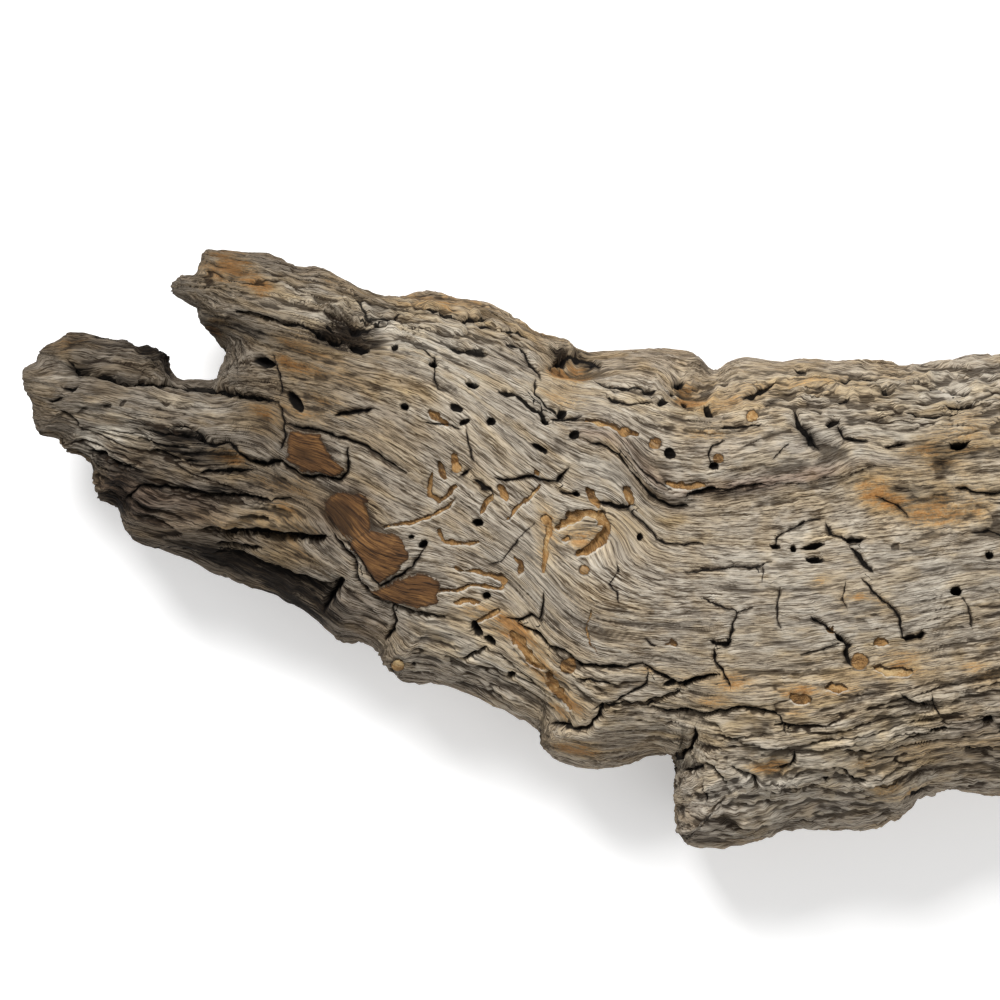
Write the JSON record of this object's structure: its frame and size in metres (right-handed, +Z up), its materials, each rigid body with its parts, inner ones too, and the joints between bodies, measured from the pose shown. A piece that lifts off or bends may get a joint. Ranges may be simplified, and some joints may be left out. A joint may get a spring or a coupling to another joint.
{
  "type": "piece of driftwood",
  "caption": "Weathered length of driftwood, forked at one end and broken at the other, with cracked silvery grain and beetle galleries; it lies on its worn flat underside.",
  "frame": {"origin": "centre of the bounding box in plan, at the level of the ground that the worn underside lies on", "axes": "+X along the grain from the forked end to the broken end, +Y across the broad face towards the short prong's side, +Z up out of the broad face"},
  "size_m": [0.64, 0.297, 0.1181],
  "materials": {
    "weathered_wood": "bare, silver-grey weathered wood with an open grain, dark drying cracks, orange-brown beetle dust in the galleries and a few red-brown patches of inner bark"
  },
  "bodies": {
    "root": {"driftwood": "weathered_wood"}
  },
  "joints": []
}
